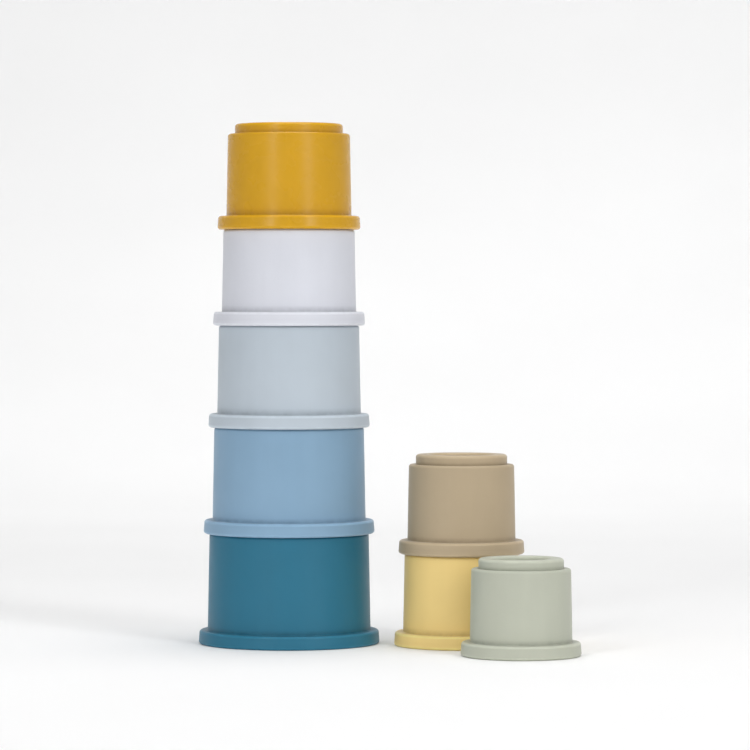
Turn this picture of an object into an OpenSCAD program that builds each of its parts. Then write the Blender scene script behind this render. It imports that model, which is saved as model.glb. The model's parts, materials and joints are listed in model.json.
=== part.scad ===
// Stacking cups: a set of eight, each cup standing mouth down.
// Five form a tower, two form a short stack beside it and the smallest stands alone.
// The origin is on the tower's axis, at the surface that the cups stand on, +Z up.
// A cup is a plain shell with a thick rim round its mouth. Its closed end carries a raised
// ring, and the mouth of the next smaller cup drops over that ring.

/* [Set] */
// Rim radius of the largest cup
largest_rim_r = 43; // [40:0.5:60]
// Drop in rim radius from the largest cup to the next
rim_step = 2.35; // [1.9:0.05:3]
// How much smaller each further drop is than the one before
step_ease = 0.06; // [0:0.01:0.1]

/* [Rim] */
// Height of the thick rim round the mouth
rim_h = 6.5; // [5:0.1:9]
// How far the rim stands out past the body, at its widest
rim_overhang = 4.2; // [3.6:0.1:5.5]
// Draft of the rim's side, in degrees. The rim is widest beside the mouth.
rim_draft = 4; // [0.5:0.5:5]
// Rounding of the rim's edge on the body side
rim_back_round = 1.3; // [0.4:0.1:1.8]
// Rounding of the rim's edge on the mouth side
rim_face_round = 1.3; // [0.4:0.1:1.6]
// Fillet in the corner between rim and body
rim_fillet = 0.5; // [0.2:0.1:1]
// Rounding of the mouth's inner edge
mouth_round = 0.5; // [0.2:0.1:0.7]

/* [Shell] */
// Thickness of body, closed end and ring
wall = 1.5; // [1.2:0.1:1.9]
// Draft of the body, in degrees
draft = 1.1; // [0.5:0.1:1.5]
// Rounding of the shoulder, where the body meets the closed end
shoulder_round = 1.3; // [0.6:0.1:1.6]
// Rounding of the corners inside the hollow
hollow_round = 0.8; // [0.4:0.1:1.2]

/* [Ring] */
// Height of the raised ring above the shoulder
ring_h = 4.7; // [3:0.1:6]
// Width of the raised ring
ring_w = 6.5; // [5:0.1:8]
// Rounding of the ring's top edges
ring_round = 1.5; // [0.4:0.1:2]
// Gap all round between a ring and the mouth that drops over it
ring_clearance = 0.5; // [0.3:0.1:1]
// Radius of the moulding gate's dimple, at the centre of the closed end
gate_r = 2.5; // [1.5:0.1:4]
// Depth of the moulding gate's dimple
gate_depth = 0.4; // [0.2:0.1:0.6]

/* [Cup heights] */
// Cup 1, mouth to shoulder
height_1 = 52.4; // [45:0.1:70]
// Cup 2, mouth to shoulder
height_2 = 50.5; // [43:0.1:67]
// Cup 3, mouth to shoulder
height_3 = 48.4; // [41:0.1:64]
// Cup 4, mouth to shoulder
height_4 = 45.5; // [39:0.1:61]
// Cup 5, mouth to shoulder
height_5 = 45.5; // [37:0.1:58]
// Cup 6, mouth to shoulder
height_6 = 43.4; // [35:0.1:55]
// Cup 7, mouth to shoulder
height_7 = 42.4; // [33:0.1:52]
// Cup 8, mouth to shoulder
height_8 = 40.3; // [31:0.1:50]

/* [Placing] */
// Direction of the short stack from the tower, in degrees from +X
stack_bearing = -8; // [-30:1:30]
// Gap between the rims of the tower's lowest cup and the short stack's lowest cup
stack_gap = 7.8; // [1:0.1:60]
// Direction of the single cup from the short stack, in degrees from +X
single_bearing = -64.5; // [-80:0.5:40]
// Gap between the rims of the short stack's lowest cup and the single cup
single_gap = 1.3; // [1:0.1:60]

/* [Hidden] */
$fn = 160;
heights = [height_1, height_2, height_3, height_4, height_5, height_6, height_7, height_8];
// How far a cut runs past the face that it opens
over = 1;
// How far a rounding stands out past the end of a drafted wall, so that they meet cleanly
lap = 0.002;

// Sizes of cup n, from 1 for the largest to 8. Cup 9 isn't made: it only sizes cup 8's ring.
function rim_r(n) = largest_rim_r - (n - 1) * rim_step + step_ease * (n - 1) * (n - 2) / 2;
function body_r(n) = rim_r(n) - rim_overhang;
function mouth_r(n) = body_r(n) - wall;
function height(n) = heights[n - 1];
function ring_r(n) = mouth_r(n + 1) - ring_clearance;
function well_r(n) = ring_r(n) - ring_w;

// Radius at height z of a drafted wall that has radius r at the rim's back
function drafted(r, z) = r - (z - rim_h) * tan(draft);

// Where the cups stand
function level(n) = n == 1 || n == 6 ? 0 : level(n - 1) + height(n - 1);
function along(bearing, distance) = distance * [cos(bearing), sin(bearing)];
stack_place = along(stack_bearing, rim_r(1) + stack_gap + rim_r(6));
single_place = stack_place + along(single_bearing, rim_r(6) + single_gap + rim_r(8));

// The outlines below are half sections, with the cup's axis on x = 0 and its mouth on y = 0.

// From the axis to the rim's drafted side, of radius r at its widest, with both edges rounded
module rim_outline(r) {
    side_low = rim_face_round;
    side_high = rim_h - rim_back_round;
    widest = r - lap;
    narrowest = widest - (side_high - side_low) * tan(rim_draft);
    face_centre = [r - rim_face_round, side_low];
    back_centre = [narrowest - rim_back_round + lap, side_high];
    polygon([
        [0, 0], [face_centre[0], 0], face_centre, [widest, side_low],
        [narrowest, side_high], back_centre, [back_centre[0], rim_h], [0, rim_h]
    ]);
    translate(face_centre) circle(rim_face_round);
    translate(back_centre) circle(rim_back_round);
}

// From the axis to a drafted wall of radius r at the rim's back, with its top edge rounded
module drafted_outline(r, low, high, round) {
    side = drafted(r, high - round);
    centre = [side - round + lap, high - round];
    polygon([
        [0, low], [r, low], [r, rim_h],
        [side, centre[1]], centre, [centre[0], high], [0, high]
    ]);
    translate(centre) circle(round);
}

// From radius inner to radius outer and from low to high, with both top edges rounded
module ring_outline(inner, outer, low, high, round) {
    translate([inner, low]) square([outer - inner, high - round - low]);
    translate([inner + round, low]) square([outer - inner - 2 * round, high - low]);
    for (x = [inner + round, outer - round]) translate([x, high - round]) circle(round);
}

// What rounds off the mouth's inner edge
module mouth_edge_outline(r) {
    difference() {
        translate([r - over, -over]) square([over + mouth_round, over + mouth_round]);
        translate([r + mouth_round, mouth_round]) circle(mouth_round);
    }
}

// What fills the corner between the rim's back and the body
module rim_fillet_outline(r) {
    side = drafted(r, rim_h + rim_fillet);
    centre = [side + rim_fillet - lap, rim_h + rim_fillet];
    within = side - wall / 2;
    difference() {
        translate([within, rim_h - over]) square([centre[0] - within, over + rim_fillet]);
        translate(centre) circle(rim_fillet);
    }
}

module solid_outline(n) {
    rim_outline(rim_r(n));
    drafted_outline(body_r(n), 0, height(n), shoulder_round);
    rim_fillet_outline(body_r(n));
    ring_outline(well_r(n), ring_r(n), height(n) - wall, height(n) + ring_h, ring_round);
}

module hollow_outline(n) {
    ceiling = height(n) - wall;
    drafted_outline(mouth_r(n), -over, ceiling, hollow_round);
    mouth_edge_outline(mouth_r(n));
    ring_outline(well_r(n) + wall, ring_r(n) - wall, ceiling - over, ceiling + ring_h, hollow_round);
}

module cup(n) {
    rotate_extrude() difference() {
        solid_outline(n);
        hollow_outline(n);
        translate([0, height(n) - gate_depth]) square([gate_r, over]);
    }
}

module tower_cup(n) {
    translate([0, 0, level(n)]) cup(n);
}

module stack_cup(n) {
    translate([stack_place[0], stack_place[1], level(n)]) cup(n);
}

module cup_1_teal() { color("#38748e") tower_cup(1); }
module cup_2_sky_blue() { color("#8eabc5") tower_cup(2); }
module cup_3_pale_blue() { color("#bcccd3") tower_cup(3); }
module cup_4_white() { color("#dcdfe6") tower_cup(4); }
module cup_5_mustard() { color("#d2a038") tower_cup(5); }
module cup_6_yellow() { color("#e0c986") stack_cup(6); }
module cup_7_taupe() { color("#b1a084") stack_cup(7); }
module cup_8_sage() { color("#c0c3b5") translate(single_place) cup(8); }

cup_1_teal();
cup_2_sky_blue();
cup_3_pale_blue();
cup_4_white();
cup_5_mustard();
cup_6_yellow();
cup_7_taupe();
cup_8_sage();
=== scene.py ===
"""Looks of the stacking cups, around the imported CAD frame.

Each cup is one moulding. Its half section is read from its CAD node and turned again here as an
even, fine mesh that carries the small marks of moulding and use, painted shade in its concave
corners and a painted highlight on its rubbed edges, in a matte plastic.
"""

import json
import math

import bmesh
import bpy
import numpy as np
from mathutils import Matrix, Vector


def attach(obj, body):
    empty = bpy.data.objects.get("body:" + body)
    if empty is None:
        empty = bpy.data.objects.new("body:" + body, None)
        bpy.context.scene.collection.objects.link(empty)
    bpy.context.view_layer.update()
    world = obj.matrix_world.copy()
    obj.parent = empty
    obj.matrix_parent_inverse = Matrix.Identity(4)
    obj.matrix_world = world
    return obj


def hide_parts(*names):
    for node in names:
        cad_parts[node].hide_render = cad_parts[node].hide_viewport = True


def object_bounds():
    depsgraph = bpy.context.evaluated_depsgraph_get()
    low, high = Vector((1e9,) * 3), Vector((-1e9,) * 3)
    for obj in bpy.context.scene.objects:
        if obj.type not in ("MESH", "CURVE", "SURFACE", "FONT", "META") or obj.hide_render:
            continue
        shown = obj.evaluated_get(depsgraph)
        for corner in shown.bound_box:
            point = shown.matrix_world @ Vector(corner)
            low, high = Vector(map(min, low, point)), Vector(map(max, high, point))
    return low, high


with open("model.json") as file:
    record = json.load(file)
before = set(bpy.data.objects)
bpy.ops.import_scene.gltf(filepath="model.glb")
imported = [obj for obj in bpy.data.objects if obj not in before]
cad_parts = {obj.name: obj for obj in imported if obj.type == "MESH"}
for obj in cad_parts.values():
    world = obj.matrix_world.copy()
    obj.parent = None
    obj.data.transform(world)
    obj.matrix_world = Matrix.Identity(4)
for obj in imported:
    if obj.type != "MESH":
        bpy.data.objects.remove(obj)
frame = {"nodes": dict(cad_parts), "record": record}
cad_low, cad_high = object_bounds()

MM = 0.001

# Turned meshes
TURNS = 192                      # columns round a cup
SAME_RING = 4e-6                 # CAD corners this close in radius and height are on one ring
LONGEST_STEP = 3 * MM            # longest stretch of the section with no ring of its own
SHARP_ANGLE = math.radians(40)   # faces that meet at more than this are shaded as an edge

# Where edges are rubbed and lightened, partly as a painted highlight, and where corners are darkened
# as painted shade
EDGE_REACH = 0.45 * MM           # how far the edge lightening or the painted corner shade spreads past a rounded edge or corner
FULL_TURN = math.radians(45)     # a bend of this much within that reach is fully marked
RIM_EDGE = 2 * MM                # the rim's roundings lie this far in from its widest

# Marks that moulding leaves
PART_LINE_DEPTH = 0.05 * MM
PART_LINE_WIDTH = 0.22 * MM
RIM_ROWS = 3                     # how many rows above the rim's widest its side may start
GATE_NUB_RADIUS = 0.7 * MM
GATE_NUB_HEIGHT = 0.25 * MM
GATE_NUB_TOP = 0.6               # radius of the nub's flat top, as a share of its radius
GATE_NUB_EDGE = (0.9, 0.7)       # the nub's edge, as shares of its radius and its height

# Colours as they look on a screen, 0 to 255
TINTS = {
    "teal": (48, 111, 136),
    "sky_blue": (132, 163, 188),
    "pale_blue": (181, 191, 200),
    "white": (208, 210, 218),
    "mustard": (199, 150, 27),
    "yellow": (240, 211, 139),
    "taupe": (178, 161, 134),
    "sage": (182, 185, 170),
}
WHITE = (1, 1, 1, 1)

# Roughness and specular level of the moulded skin
MATTE = (0.40, 0.15)
SILKY = (0.28, 0.28)
SILKY_CUPS = ["mustard"]
ROUGHNESS_SWING = 0.04           # how far the roughness wanders either way
RUBBED_SMOOTHER = 0.12           # how much smoother a rubbed edge is
PLASTIC_IOR = 1.49

# Patterns in the plastic: how wide each one's lumps are, and how deep where it is relief
CLOUD_SIZE = 35 * MM
FLOW_SIZE = 6 * MM
FLOW_STRETCH = (1, 1, 0.08)      # draws the flow pattern out into upright streaks
PATCH_SIZE = 4 * MM              # patches of the edge lightening and of the painted corner shade
SWING_SIZE = 12 * MM             # patches of higher and lower roughness
SKIN_SIZE = 5 * MM
SKIN_DEPTH = 0.06 * MM
GRAIN_SIZE = 0.7 * MM
GRAIN_DEPTH = 0.025 * MM
NOISE_RANGE = (0.3, 0.7)         # most of a noise's values lie between these
PATCH_RANGE = (0.35, 0.65)       # narrower, so that the patches have firmer edges
PATCHINESS = (0.6, 1)            # how strong the edge lightening and the painted corner shade are, outside the patches and inside
SPECK_SPACING = 11 * MM
SPECK_RADIUS = 0.2 * MM
SPECK_SHARE = 0.1                # share of the places for a speck that hold one

# Shades of a cup's colour, 1 being the plain colour. Each mark also has a strength.
CLOUD_SHADES = (0.965, 1.03)
FLOW_MARK = {"strength": 0.25, "shade": 1.07}
# Rubbed edges: lightened partly as real wear and partly as a painted highlight along the rims' and
# ring's edges
RUB_AND_HIGHLIGHT_MARK = {"strength": 0.7, "shade": 1.45}
# Painted shade: darkens the concave corners and creases, where shade falls
CORNER_SHADE_MARK = {"strength": 0.5, "shade": 0.5}
SPECK_MARK = {"strength": 0.25, "shade": 0.45}

# The mix node's colour sockets, by number because its other kinds of socket share their names
MIX_FIRST, MIX_SECOND, MIX_RESULT = 6, 7, 2

# Stage, in metres
FLOOR_RADIUS = 1.2               # where the floor starts to curve up
FLOOR_RINGS = 3                  # rings on the flat part
BEND_RADIUS = 1.8
BEND_STEPS = 24
WALL_TOP = 3.0
FLOOR_CLOUD_SIZE = 0.4
FLOOR_SHADES = (0.92, 0.95)
FLOOR_ROUGHNESS = 0.8
FLOOR_SPECULAR = 0.2
ROOM_LIGHT = 0.05                # strength of the even light from all round

# Camera, in metres and degrees
CAMERA_PLACE = (0.0409, -1.884, 0.1685)
CAMERA_PITCH = 1.241             # downwards from level
CAMERA_LENS = 190.0              # in millimetres, as the sensor is
CAMERA_SENSOR = 36.0
CAMERA_SEES = (0.05, 50)         # nearest and furthest distance


def linear(screen):
    """A screen colour, 0 to 255, as the linear numbers that shaders use, with alpha. The curve
    is that of sRGB."""
    share = [c / 255 for c in screen]
    return tuple(c / 12.92 if c < 0.04045 else ((c + 0.055) / 1.055) ** 2.4 for c in share) + (1,)


def shaded(colour, factor):
    """The colour times factor, with alpha 1."""
    return tuple(min(1, c * factor) for c in colour[:3]) + (1,)


# Half sections

def rings_of(mesh, axis):
    """The mesh's corners as rings round the axis: (radius, height) rows, and each corner's ring."""
    at = np.array([v.co for v in mesh.vertices])
    flat = np.column_stack([np.hypot(at[:, 0] - axis[0], at[:, 1] - axis[1]), at[:, 2]])
    rings, ring_of = [], np.full(len(flat), -1)
    for i, point in enumerate(flat):
        if ring_of[i] < 0:
            same = (np.abs(flat - point).max(axis=1) < SAME_RING) & (ring_of < 0)
            ring_of[same] = len(rings)
            rings.append(flat[same].mean(axis=0))
    return np.array(rings), ring_of


def half_section(node, axis):
    """The half section of a CAD node as rows of (radius, height), from the middle of its top,
    down the outside, round the mouth and up the inside to the middle of the ceiling.

    Edges of the mesh join rings. Taken shortest first, the ones that close no loop and leave no
    ring with more than two neighbours are the section itself."""
    mesh = frame["nodes"][node].data
    rings, ring_of = rings_of(mesh, axis)
    ends = ring_of[np.array([e.vertices[:] for e in mesh.edges])]
    pairs = np.unique(np.sort(ends[ends[:, 0] != ends[:, 1]], axis=1), axis=0)
    lengths = np.linalg.norm(rings[pairs[:, 0]] - rings[pairs[:, 1]], axis=1)
    beside = [[] for _ in rings]
    chain = np.arange(len(rings))
    for a, b in pairs[np.argsort(lengths, kind="stable")]:
        if len(beside[a]) < 2 and len(beside[b]) < 2 and chain[a] != chain[b]:
            beside[a].append(b)
            beside[b].append(a)
            chain[chain == chain[b]] = chain[a]
    loose = [i for i, near in enumerate(beside) if len(near) == 1]
    here = min(loose, key=lambda i: rings[i][0])
    order = [here]
    while True:
        onward = [i for i in beside[here] if len(order) < 2 or i != order[-2]]
        if not onward:
            break
        here = onward[0]
        order.append(here)
    if len(order) != len(rings):
        raise ValueError(f"{node}: its section holds {len(order)} of {len(rings)} rings")
    section = rings[order]
    return np.vstack([[0, section[0][1]], section, [0, section[-1][1]]])


def with_gate_nub(section):
    """Adds the small nub that is left where the moulding's gate was cut, in the gate's dimple."""
    dimple = section[0][1]
    nub = [
        (0, dimple + GATE_NUB_HEIGHT),
        (GATE_NUB_RADIUS * GATE_NUB_TOP, dimple + GATE_NUB_HEIGHT),
        (GATE_NUB_RADIUS * GATE_NUB_EDGE[0], dimple + GATE_NUB_HEIGHT * GATE_NUB_EDGE[1]),
        (GATE_NUB_RADIUS, dimple),
    ]
    return np.vstack([nub, section[1:]])


def with_part_line(section):
    """Cuts the fine groove that the mould's parting leaves round the rim, where its side meets
    the rounding on the body side. The side is the longest stretch next to the rim's widest."""
    lengths = np.linalg.norm(np.diff(section, axis=0), axis=1)
    widest = section[:, 0].argmax()
    side = max(range(widest - RIM_ROWS, widest + 1), key=lambda i: lengths[i])
    upper, lower = section[side], section[side + 1]
    down = (lower - upper) / lengths[side]
    inward = np.array([down[1], -down[0]])
    middle = upper + down * PART_LINE_WIDTH
    half = down * PART_LINE_WIDTH / 2
    groove = [middle - half, middle + inward * PART_LINE_DEPTH, middle + half]
    return np.insert(section, side + 1, groove, axis=0)


def evened(section):
    """Adds rings so that no stretch of the section is longer than LONGEST_STEP."""
    rows = [section[0]]
    for a, b in zip(section, section[1:]):
        parts = max(1, math.ceil(np.linalg.norm(b - a) / LONGEST_STEP))
        rows += [a + (b - a) * k / parts for k in range(1, parts + 1)]
    return np.array(rows)


def bent(section, outward):
    """For each ring, how tightly the section bends around it: 1 on a tight edge, 0 on a flat.
    outward is 1 for the edges that stand out and -1 for the concave corners, which are darkened as
    painted shade.

    The section runs clockwise, so it turns clockwise at an edge that stands out. Turns both
    ways within EDGE_REACH are added up, so that a tiny kink beside an edge doesn't count as
    a corner."""
    step = np.diff(section, axis=0)
    heading = np.unwrap(np.arctan2(step[:, 1], step[:, 0]))
    turn = np.zeros(len(section))
    turn[1:-1] = -outward * np.diff(heading)
    along = np.concatenate([[0], np.cumsum(np.linalg.norm(step, axis=1))])
    near = np.exp(-((along[:, None] - along[None, :]) / EDGE_REACH) ** 2)
    return np.clip(near @ turn / FULL_TURN, 0, 1)


def rubbed_and_highlit(section, shoulder):
    """For each ring, how rubbed it is and how much it is lightened: 1 on a tight outer edge of the
    rim or of the raised ring, which stand out, take the knocks and are lightened partly as wear and
    partly as a painted highlight, and 0 elsewhere."""
    stands_out = (section[:, 0] > section[:, 0].max() - RIM_EDGE) | (section[:, 1] > shoulder)
    return np.where(stands_out, bent(section, 1) ** 2, 0)


# Meshes

def turned(name, section, axis=(0, 0)):
    """A mesh of the section turned round the axis, with one corner where a row lies on it."""
    angles = [2 * math.pi * k / TURNS for k in range(TURNS)]
    bm = bmesh.new()
    rows = []
    for radius, height in section:
        around = angles if radius > SAME_RING else [0]
        rows.append([
            bm.verts.new((axis[0] + radius * math.cos(a), axis[1] + radius * math.sin(a), height))
            for a in around
        ])
    for above, below in zip(rows, rows[1:]):
        for k in range(TURNS):
            j = k + 1
            corners = (
                above[k % len(above)], above[j % len(above)],
                below[j % len(below)], below[k % len(below)],
            )
            bm.faces.new(list(dict.fromkeys(corners)))
    bmesh.ops.recalc_face_normals(bm, faces=bm.faces)
    mesh = bpy.data.meshes.new(name)
    bm.to_mesh(mesh)
    bm.free()
    mesh.shade_smooth()
    mesh.set_sharp_from_angle(angle=SHARP_ANGLE)
    return mesh


def set_per_ring(mesh, name, section, values):
    """Gives each corner of a turned mesh its ring's value, as the attribute name."""
    corners = np.where(section[:, 0] > SAME_RING, TURNS, 1)
    attribute = mesh.attributes.new(name, "FLOAT", "POINT")
    attribute.data.foreach_set("value", np.repeat(values, corners).astype(np.float32))


# Materials

class Nodes:
    """Short calls for building a node tree."""

    def __init__(self, material):
        material.use_nodes = True
        self.tree = material.node_tree
        self.shader = self.tree.nodes["Principled BSDF"]
        self.place = self.tree.nodes.new("ShaderNodeTexCoord").outputs["Object"]

    def link(self, source, socket):
        self.tree.links.new(source, socket)

    def scaled(self, scale):
        """Object coordinates, multiplied by scale along each axis."""
        node = self.tree.nodes.new("ShaderNodeMapping")
        node.inputs["Scale"].default_value = scale
        self.link(self.place, node.inputs["Vector"])
        return node.outputs["Vector"]

    def noise(self, size, detail=2.0, stretch=(1, 1, 1)):
        """Smooth noise whose lumps are about size metres across."""
        node = self.tree.nodes.new("ShaderNodeTexNoise")
        node.inputs["Scale"].default_value = 1.0
        node.inputs["Detail"].default_value = detail
        self.link(self.scaled([s / size for s in stretch]), node.inputs["Vector"])
        return node.outputs["Fac"]

    def ranged(self, value, source, target=(0, 1)):
        """value moved from the range source to the range target, and held inside it."""
        node = self.tree.nodes.new("ShaderNodeMapRange")
        self.link(value, node.inputs["Value"])
        for side, ends in (("From", source), ("To", target)):
            node.inputs[side + " Min"].default_value = ends[0]
            node.inputs[side + " Max"].default_value = ends[1]
        return node.outputs["Result"]

    def maths(self, operation, a, b):
        """The operation on two values, each a number or a socket."""
        node = self.tree.nodes.new("ShaderNodeMath")
        node.operation = operation
        for socket, value in zip(node.inputs, (a, b)):
            if isinstance(value, (int, float)):
                socket.default_value = value
            else:
                self.link(value, socket)
        return node.outputs["Value"]

    def mixed(self, share, first, second):
        """A blend of two colours, each a tuple or a socket."""
        node = self.tree.nodes.new("ShaderNodeMix")
        node.data_type = "RGBA"
        self.link(share, node.inputs["Factor"])
        for number, value in ((MIX_FIRST, first), (MIX_SECOND, second)):
            if isinstance(value, tuple):
                node.inputs[number].default_value = value
            else:
                self.link(value, node.inputs[number])
        return node.outputs[MIX_RESULT]

    def bump(self, height, depth, under=None):
        """A bump whose height runs from 0 to 1 over depth metres, on top of the bump under."""
        node = self.tree.nodes.new("ShaderNodeBump")
        node.inputs["Strength"].default_value = 1.0
        node.inputs["Distance"].default_value = depth
        self.link(height, node.inputs["Height"])
        if under is not None:
            self.link(under, node.inputs["Normal"])
        return node.outputs["Normal"]

    def specks(self, spacing, radius, share):
        """1 inside small round specks, 0 elsewhere. share of the cells hold one."""
        node = self.tree.nodes.new("ShaderNodeTexVoronoi")
        node.inputs["Scale"].default_value = 1.0
        self.link(self.scaled([1 / spacing] * 3), node.inputs["Vector"])
        inside = self.maths("LESS_THAN", node.outputs["Distance"], radius / spacing)
        split = self.tree.nodes.new("ShaderNodeSeparateColor")
        self.link(node.outputs["Color"], split.inputs["Color"])
        chosen = self.maths("LESS_THAN", split.outputs["Red"], share)
        return self.maths("MULTIPLY", inside, chosen)

    def attribute(self, name):
        node = self.tree.nodes.new("ShaderNodeAttribute")
        node.attribute_name = name
        return node.outputs["Fac"]


def plastic(slot, tint, roughness, specular):
    """Matte moulded plastic: faint clouding and flow streaks, rubbed edges lightened partly as wear
    and partly as a painted highlight, painted shade in the concave corners, a few specks, and a
    slightly uneven skin with a fine spark-eroded grain."""
    material = bpy.data.materials.new(slot)
    nodes = Nodes(material)
    patchy = nodes.ranged(nodes.noise(PATCH_SIZE, detail=4), PATCH_RANGE, PATCHINESS)
    # Rubbed edges, lighter partly from wear and partly as a painted highlight, and smoother
    worn_and_highlit = nodes.maths("MULTIPLY", nodes.attribute("wear_and_highlight"), patchy)
    # Painted shade in the concave corners and creases
    corner_shade = nodes.maths("MULTIPLY", nodes.attribute("crease_shade"), patchy)

    base = linear(tint)
    cloud = nodes.ranged(nodes.noise(CLOUD_SIZE, detail=3), NOISE_RANGE)
    flow = nodes.ranged(nodes.noise(FLOW_SIZE, stretch=FLOW_STRETCH), NOISE_RANGE)
    specks = nodes.specks(SPECK_SPACING, SPECK_RADIUS, SPECK_SHARE)
    colour = nodes.mixed(cloud, *[shaded(base, shade) for shade in CLOUD_SHADES])
    marks = ((flow, FLOW_MARK), (worn_and_highlit, RUB_AND_HIGHLIGHT_MARK), (corner_shade, CORNER_SHADE_MARK), (specks, SPECK_MARK))
    for where, mark in marks:
        share = nodes.maths("MULTIPLY", where, mark["strength"])
        colour = nodes.mixed(share, colour, shaded(base, mark["shade"]))
    nodes.link(colour, nodes.shader.inputs["Base Color"])

    swing = (roughness - ROUGHNESS_SWING, roughness + ROUGHNESS_SWING)
    rough = nodes.ranged(nodes.noise(SWING_SIZE, detail=3), NOISE_RANGE, swing)
    rough = nodes.maths("SUBTRACT", rough, nodes.maths("MULTIPLY", worn_and_highlit, RUBBED_SMOOTHER))
    nodes.link(rough, nodes.shader.inputs["Roughness"])

    grain = nodes.bump(nodes.noise(GRAIN_SIZE), GRAIN_DEPTH)
    skin = nodes.bump(nodes.noise(SKIN_SIZE), SKIN_DEPTH, under=grain)
    nodes.link(skin, nodes.shader.inputs["Normal"])
    nodes.shader.inputs["IOR"].default_value = PLASTIC_IOR
    nodes.shader.inputs["Specular IOR Level"].default_value = specular
    return material


def pale_floor():
    """Near-white paint, very faintly clouded."""
    material = bpy.data.materials.new("pale_floor")
    nodes = Nodes(material)
    cloud = nodes.ranged(nodes.noise(FLOOR_CLOUD_SIZE), NOISE_RANGE)
    colour = nodes.mixed(cloud, *[shaded(WHITE, shade) for shade in FLOOR_SHADES])
    nodes.link(colour, nodes.shader.inputs["Base Color"])
    nodes.shader.inputs["Roughness"].default_value = FLOOR_ROUGHNESS
    nodes.shader.inputs["Specular IOR Level"].default_value = FLOOR_SPECULAR
    return material


# The cups

def well_of(body):
    """Where a cup's axis stands and how high its shoulder is, from its stated well: the well's
    box is centred on the axis and starts just above the shoulder."""
    spaces = {o["name"]: o["box_m"] for o in frame["record"]["physics"]["openings"]}
    low, high = spaces["well_" + body]
    return ((low[0] + high[0]) / 2, (low[1] + high[1]) / 2), low[2]


def cup(body, node):
    """The cup that is shown in place of the body's CAD node."""
    axis, shoulder = well_of(body)
    section = evened(with_part_line(with_gate_nub(half_section(node, axis))))
    mesh = turned(node + "_moulding", section, axis)
    # Rubbed edges: real wear and a painted highlight, as one attribute
    set_per_ring(mesh, "wear_and_highlight", section, rubbed_and_highlit(section, shoulder))
    # Painted shade: how far each ring lies in a concave corner
    set_per_ring(mesh, "crease_shade", section, bent(section, -1))
    piece = bpy.data.objects.new(mesh.name, mesh)
    bpy.context.scene.collection.objects.link(piece)
    even = piece.modifiers.new("even_shading", "WEIGHTED_NORMAL")
    even.keep_sharp = True
    slot = next(s["material_slot"] for s in frame["record"]["subparts"] if s["node"] == node)
    colour = slot.removesuffix("_plastic")
    finish = SILKY if colour in SILKY_CUPS else MATTE
    piece.data.materials.append(plastic(slot, TINTS[colour], *finish))
    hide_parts(node)
    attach(piece, body)


# The stage

def floor():
    """A pale round floor that curves up into a wall all round."""
    section = [(FLOOR_RADIUS * k / FLOOR_RINGS, 0) for k in range(FLOOR_RINGS)]
    for k in range(BEND_STEPS + 1):
        angle = math.pi / 2 * k / BEND_STEPS
        radius = FLOOR_RADIUS + BEND_RADIUS * math.sin(angle)
        section.append((radius, BEND_RADIUS - BEND_RADIUS * math.cos(angle)))
    section.append((FLOOR_RADIUS + BEND_RADIUS, WALL_TOP))
    obj = bpy.data.objects.new("floor", turned("floor", section))
    bpy.context.scene.collection.objects.link(obj)
    obj.data.materials.append(pale_floor())


def softbox(name, place, target, size, power):
    """A rectangular light at place that faces target. size is its width and height in metres,
    and power is in watts."""
    light = bpy.data.lights.new(name, "AREA")
    light.shape = "RECTANGLE"
    light.size, light.size_y = size
    light.energy = power
    obj = bpy.data.objects.new(name, light)
    obj.location = place
    toward = Vector(target) - Vector(place)
    obj.rotation_euler = toward.to_track_quat("-Z", "Y").to_euler()
    obj.visible_camera = False
    bpy.context.scene.collection.objects.link(obj)


def lights():
    """Two tall softboxes in front, one overhead, one on the wall behind, and a little even light."""
    middle = (cad_low + cad_high) / 2
    tall, wide, small = (0.45, 1.7), (1.4, 1.4), (1.2, 1.2)
    softbox("left_softbox", place=(-0.95, -1.7, 1.15), target=middle, size=tall, power=13)
    softbox("right_softbox", place=(1.2, -1.6, 1.15), target=middle, size=tall, power=15.5)
    softbox("overhead_softbox", place=(0.1, 0.2, 2.0), target=(0.1, 0.2, 0), size=wide, power=26)
    softbox("background_softbox", place=(0.1, 1.3, 1.3), target=(0.1, 3.0, 0.2), size=small, power=8)
    world = bpy.data.worlds.new("studio")
    world.use_nodes = True
    world.node_tree.nodes["Background"].inputs["Color"].default_value = WHITE
    world.node_tree.nodes["Background"].inputs["Strength"].default_value = ROOM_LIGHT
    bpy.context.scene.world = world


def camera():
    data = bpy.data.cameras.new("camera")
    data.sensor_width = CAMERA_SENSOR
    data.lens = CAMERA_LENS
    data.clip_start, data.clip_end = CAMERA_SEES
    obj = bpy.data.objects.new("camera", data)
    obj.location = CAMERA_PLACE
    obj.rotation_euler = (math.radians(90 - CAMERA_PITCH), 0, 0)
    bpy.context.scene.collection.objects.link(obj)
    bpy.context.scene.camera = obj


camera()
lights()
floor()
for body, members in frame["record"]["behaviour"]["bodies"].items():
    for node in members:
        cup(body, node)
bpy.context.scene.view_settings.view_transform = "Standard"
